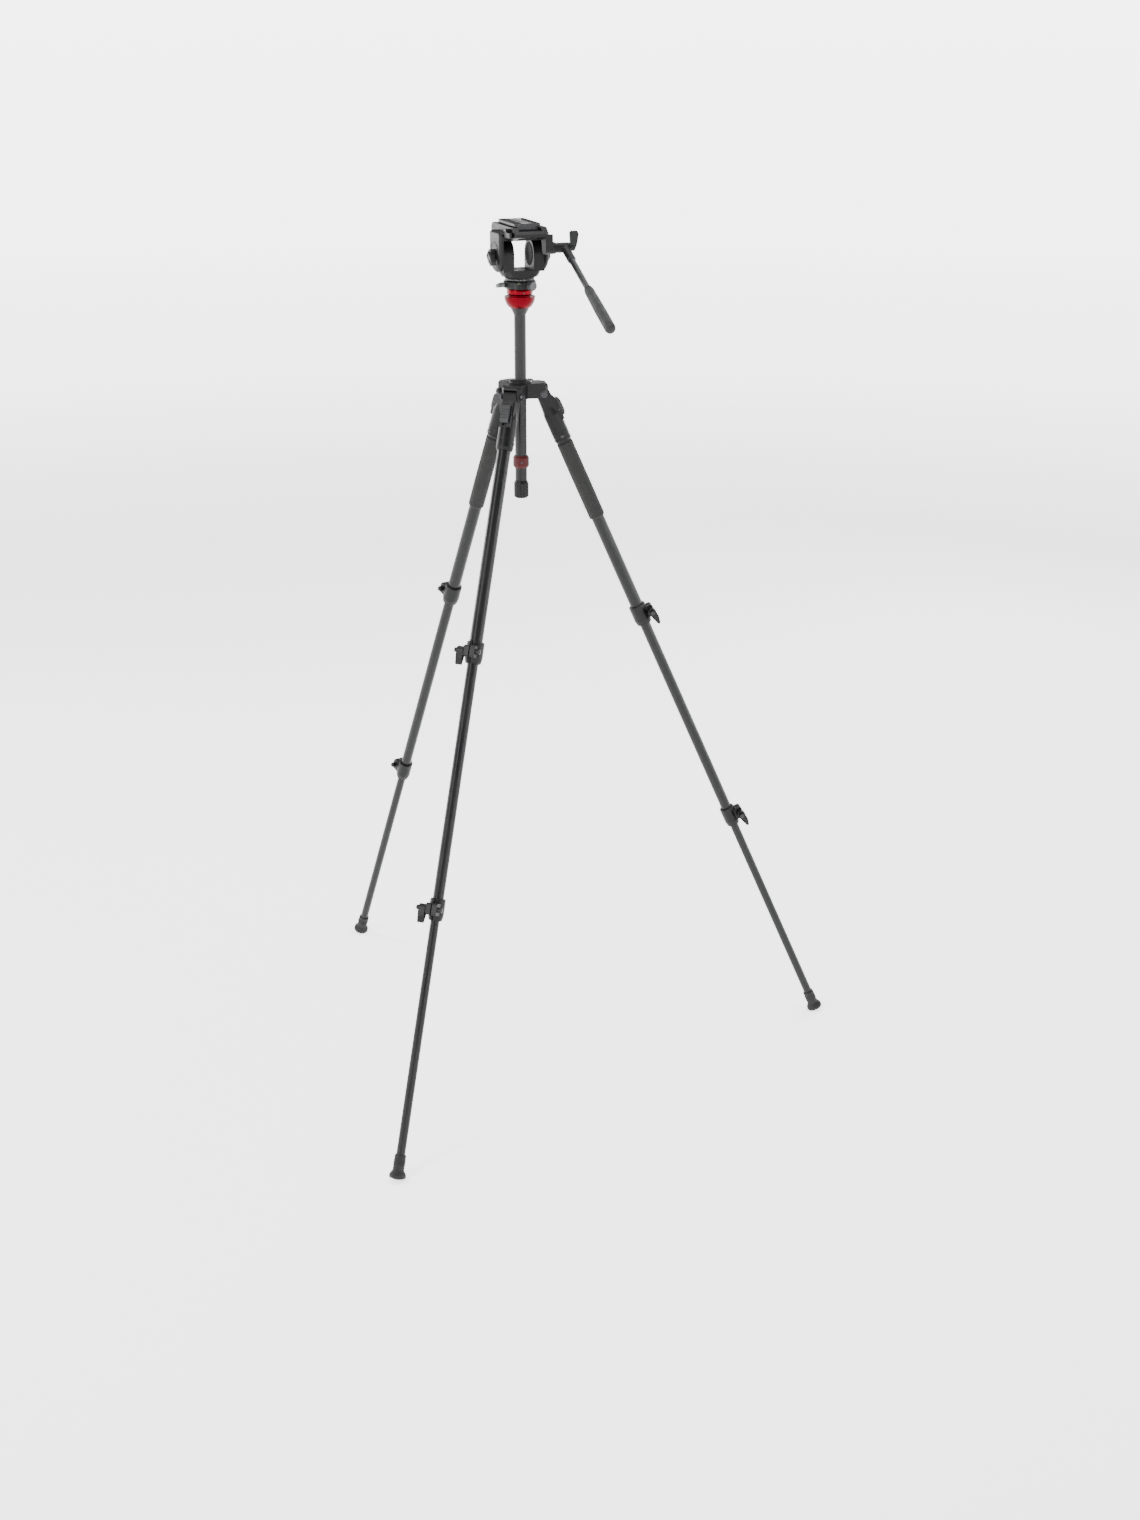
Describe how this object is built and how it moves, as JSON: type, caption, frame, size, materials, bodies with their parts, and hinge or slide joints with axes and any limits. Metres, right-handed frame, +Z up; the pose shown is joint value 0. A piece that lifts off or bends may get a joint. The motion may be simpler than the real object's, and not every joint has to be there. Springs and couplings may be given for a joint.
{
  "type": "camera tripod with fluid head",
  "caption": "Camera tripod with telescoping flip-lock legs, a levelling centre column and a two-axis fluid head with sliding camera plate and pan handle.",
  "frame": {"origin": "the point on the floor under the centre column's axis", "axes": "+Z up along the column, +Y the way the lens points, +X the operator's right"},
  "size_m": [1.0445, 1.0812, 1.6469],
  "materials": {
    "black_anodised": "satin black anodised tube",
    "black_casting": "fine-textured black powder coat on a light-alloy casting",
    "black_lock": "fine-textured black moulding",
    "black_plate": "black anodised plate with a rubber pad",
    "black_rubber": "matt rubber",
    "bubble": "clear vial with yellow-green fluid",
    "dark_grey_knob": "satin dark grey moulding",
    "foam_grip": "matt sponge rubber sleeve",
    "grey_lever": "satin mid grey moulding",
    "grey_selector": "glossy dark grey moulding",
    "red_anodised": "satin deep red anodised",
    "red_ring": "dark red moulded stop ring",
    "slide_liner": "off-white slippery liner",
    "steel": "turned steel"
  },
  "bodies": {
    "spider": {"spider": "black_casting", "leg_pivot_pins": "steel"},
    "leg_right": {"top_bracket_right": "black_casting", "upper_tube_right": "black_anodised", "upper_lock_collar_right": "black_lock", "leg_grip_right": "foam_grip"},
    "middle_section_right": {"middle_tube_right": "black_anodised", "lower_lock_collar_right": "black_lock"},
    "lower_section_right": {"lower_tube_right": "black_anodised", "foot_right": "black_rubber"},
    "angle_selector_right": {"angle_selector_right": "grey_selector"},
    "upper_lock_lever_right": {"upper_lock_lever_right": "black_lock"},
    "lower_lock_lever_right": {"lower_lock_lever_right": "black_lock"},
    "leg_front": {"top_bracket_front": "black_casting", "upper_tube_front": "black_anodised", "upper_lock_collar_front": "black_lock"},
    "middle_section_front": {"middle_tube_front": "black_anodised", "lower_lock_collar_front": "black_lock"},
    "lower_section_front": {"lower_tube_front": "black_anodised", "foot_front": "black_rubber"},
    "angle_selector_front": {"angle_selector_front": "grey_selector"},
    "upper_lock_lever_front": {"upper_lock_lever_front": "black_lock"},
    "lower_lock_lever_front": {"lower_lock_lever_front": "black_lock"},
    "leg_left": {"top_bracket_left": "black_casting", "upper_tube_left": "black_anodised", "upper_lock_collar_left": "black_lock", "leg_grip_left": "foam_grip"},
    "middle_section_left": {"middle_tube_left": "black_anodised", "lower_lock_collar_left": "black_lock"},
    "lower_section_left": {"lower_tube_left": "black_anodised", "foot_left": "black_rubber"},
    "angle_selector_left": {"angle_selector_left": "grey_selector"},
    "upper_lock_lever_left": {"upper_lock_lever_left": "black_lock"},
    "lower_lock_lever_left": {"lower_lock_lever_left": "black_lock"},
    "centre_column": {"column_tube": "black_anodised", "levelling_bowl": "red_anodised", "safety_ring": "red_ring"},
    "column_lock_knob": {"column_lock_knob": "black_lock"},
    "levelling_knob": {"levelling_knob": "black_lock", "levelling_draw_rod": "steel"},
    "levelling_liner": {"levelling_liner": "slide_liner"},
    "head_base": {"half_ball": "red_anodised", "pan_base": "black_casting", "bubble_level": "bubble"},
    "pan_lock_lever": {"pan_lock_lever": "grey_lever"},
    "pan_drag_knob": {"pan_drag_knob": "dark_grey_knob"},
    "pan_body": {"head_yoke": "black_casting", "tilt_axles": "steel", "tilt_fluid_cartridges": "steel"},
    "tilt_lock_lever": {"tilt_lock_lever": "black_lock"},
    "tilt_drag_dial": {"tilt_drag_dial": "black_lock"},
    "tilt_bridge": {"tilt_platform": "black_casting"},
    "camera_plate": {"camera_plate": "black_plate"},
    "camera_screw": {"camera_screw": "steel"},
    "plate_lock_lever": {"plate_lock_lever": "black_lock"},
    "plate_release_button": {"plate_release_button": "black_lock"},
    "pan_handle": {"handle_clamp": "black_casting", "handle_tube": "black_anodised", "handle_grip": "black_rubber"},
    "handle_clamp_knob": {"handle_clamp_knob": "black_lock"}
  },
  "joints": [
    {"name": "leg_swing_right", "type": "hinge", "parent": "spider", "child": "leg_right", "pos_m": [0.04022, -0.00796, 1.33], "axis": [-0.1942, -0.981, 0], "range_deg": [-23.6, 64]},
    {"name": "leg_swing_front", "type": "hinge", "parent": "spider", "child": "leg_front", "pos_m": [-0.02701, -0.03085, 1.33], "axis": [-0.7524, 0.6587, 0], "range_deg": [-23.6, 64]},
    {"name": "leg_swing_left", "type": "hinge", "parent": "spider", "child": "leg_left", "pos_m": [-0.01321, 0.03881, 1.33], "axis": [0.9466, 0.3223, 0], "range_deg": [-23.6, 64]},
    {"name": "middle_slide_right", "type": "slide", "parent": "leg_right", "child": "middle_section_right", "axis": [0.3927, -0.0778, -0.9164], "range_m": [-0.39, 0]},
    {"name": "middle_slide_front", "type": "slide", "parent": "leg_front", "child": "middle_section_front", "axis": [-0.2637, -0.3012, -0.9164], "range_m": [-0.39, 0]},
    {"name": "middle_slide_left", "type": "slide", "parent": "leg_left", "child": "middle_section_left", "axis": [-0.129, 0.379, -0.9164], "range_m": [-0.39, 0]},
    {"name": "lower_slide_right", "type": "slide", "parent": "middle_section_right", "child": "lower_section_right", "axis": [0.3927, -0.0778, -0.9164], "range_m": [-0.42, 0]},
    {"name": "lower_slide_front", "type": "slide", "parent": "middle_section_front", "child": "lower_section_front", "axis": [-0.2637, -0.3012, -0.9164], "range_m": [-0.42, 0]},
    {"name": "lower_slide_left", "type": "slide", "parent": "middle_section_left", "child": "lower_section_left", "axis": [-0.129, 0.379, -0.9164], "range_m": [-0.42, 0]},
    {"name": "column_slide", "type": "slide", "parent": "spider", "child": "centre_column", "axis": [0, 0, 1], "range_m": [-0.11, 0.105]},
    {"name": "head_pan", "type": "hinge", "parent": "head_base", "child": "pan_body", "pos_m": [0, 0, 1.583], "axis": [0, 0, 1], "continuous": true},
    {"name": "head_tilt", "type": "hinge", "parent": "pan_body", "child": "tilt_bridge", "pos_m": [0, 0, 1.583], "axis": [1, 0, 0], "range_deg": [-70, 60]},
    {"name": "levelling_roll", "type": "hinge", "parent": "levelling_liner", "child": "head_base", "pos_m": [0, 0, 1.508], "axis": [0, 1, 0], "range_deg": [-8, 8]},
    {"name": "levelling_pitch", "type": "hinge", "parent": "centre_column", "child": "levelling_liner", "pos_m": [0, 0, 1.508], "axis": [1, 0, 0], "range_deg": [-8, 8]},
    {"name": "handle_swivel", "type": "hinge", "parent": "tilt_bridge", "child": "pan_handle", "pos_m": [0.066, -0.06, 1.598], "axis": [1, 0, 0], "range_deg": [-90, 60]},
    {"name": "plate_slide", "type": "slide", "parent": "tilt_bridge", "child": "camera_plate", "axis": [0, 1, 0], "range_m": [-0.022, 0.022]},
    {"name": "column_lock_turn", "type": "hinge", "parent": "spider", "child": "column_lock_knob", "pos_m": [0.02635, 0.0301, 1.339], "axis": [0.6587, 0.7524, 0], "range_deg": [0, 180]},
    {"name": "levelling_knob_turn", "type": "hinge", "parent": "centre_column", "child": "levelling_knob", "pos_m": [0, 0, 1.15], "axis": [0, 0, 1], "range_deg": [0, 270]},
    {"name": "pan_lock_turn", "type": "hinge", "parent": "head_base", "child": "pan_lock_lever", "pos_m": [-0.035, 0, 1.529], "axis": [-1, 0, 0], "range_deg": [0, 75]},
    {"name": "pan_drag_turn", "type": "hinge", "parent": "head_base", "child": "pan_drag_knob", "pos_m": [0.01163, -0.03195, 1.529], "axis": [0.342, -0.9397, 0], "range_deg": [0, 270]},
    {"name": "tilt_lock_turn", "type": "hinge", "parent": "pan_body", "child": "tilt_lock_lever", "pos_m": [-0.052, 0, 1.583], "axis": [-1, 0, 0], "range_deg": [0, 80]},
    {"name": "tilt_drag_turn", "type": "hinge", "parent": "pan_body", "child": "tilt_drag_dial", "pos_m": [0.052, 0, 1.583], "axis": [1, 0, 0], "range_deg": [0, 270]},
    {"name": "plate_lock_turn", "type": "hinge", "parent": "tilt_bridge", "child": "plate_lock_lever", "pos_m": [-0.0367, -0.04, 1.6225], "axis": [0, 0, -1], "range_deg": [0, 70]},
    {"name": "handle_knob_turn", "type": "hinge", "parent": "pan_handle", "child": "handle_clamp_knob", "pos_m": [0.075, -0.06, 1.598], "axis": [1, 0, 0], "range_deg": [0, 270]},
    {"name": "upper_lever_flip_right", "type": "hinge", "parent": "leg_right", "child": "upper_lock_lever_right", "pos_m": [0.24248, -0.06636, 0.9011], "axis": [-0.1942, -0.981, 0], "range_deg": [0, 105]},
    {"name": "upper_lever_flip_front", "type": "hinge", "parent": "leg_front", "child": "upper_lock_lever_front", "pos_m": [-0.17871, -0.17681, 0.9011], "axis": [-0.7524, 0.6587, 0], "range_deg": [0, 105]},
    {"name": "upper_lever_flip_left", "type": "hinge", "parent": "leg_left", "child": "upper_lock_lever_left", "pos_m": [-0.06377, 0.24318, 0.9011], "axis": [0.9466, 0.3223, 0], "range_deg": [0, 105]},
    {"name": "lower_lever_flip_right", "type": "hinge", "parent": "middle_section_right", "child": "lower_lock_lever_right", "pos_m": [0.42902, -0.1033, 0.46583], "axis": [-0.1942, -0.981, 0], "range_deg": [0, 105]},
    {"name": "lower_lever_flip_front", "type": "hinge", "parent": "middle_section_front", "child": "lower_lock_lever_front", "pos_m": [-0.30397, -0.3199, 0.46583], "axis": [-0.7524, 0.6587, 0], "range_deg": [0, 105]},
    {"name": "lower_lever_flip_left", "type": "hinge", "parent": "middle_section_left", "child": "lower_lock_lever_left", "pos_m": [-0.12505, 0.42319, 0.46583], "axis": [0.9466, 0.3223, 0], "range_deg": [0, 105]},
    {"name": "plate_button_press", "type": "slide", "parent": "tilt_bridge", "child": "plate_release_button", "axis": [-1, 0, 0], "range_m": [0, 0.003], "stiffness_N_per_m": 300, "springref_m": -0.002},
    {"name": "selector_pull_right", "type": "slide", "parent": "leg_right", "child": "angle_selector_right", "axis": [0.3927, -0.0778, -0.9164], "range_m": [0, 0.006], "stiffness_N_per_m": 400, "springref_m": -0.003},
    {"name": "selector_pull_front", "type": "slide", "parent": "leg_front", "child": "angle_selector_front", "axis": [-0.2637, -0.3012, -0.9164], "range_m": [0, 0.006], "stiffness_N_per_m": 400, "springref_m": -0.003},
    {"name": "selector_pull_left", "type": "slide", "parent": "leg_left", "child": "angle_selector_left", "axis": [-0.129, 0.379, -0.9164], "range_m": [0, 0.006], "stiffness_N_per_m": 400, "springref_m": -0.003},
    {"name": "camera_screw_turn", "type": "hinge", "parent": "camera_plate", "child": "camera_screw", "pos_m": [0, 0, 1.635], "axis": [0, 0, 1], "continuous": true}
  ]
}
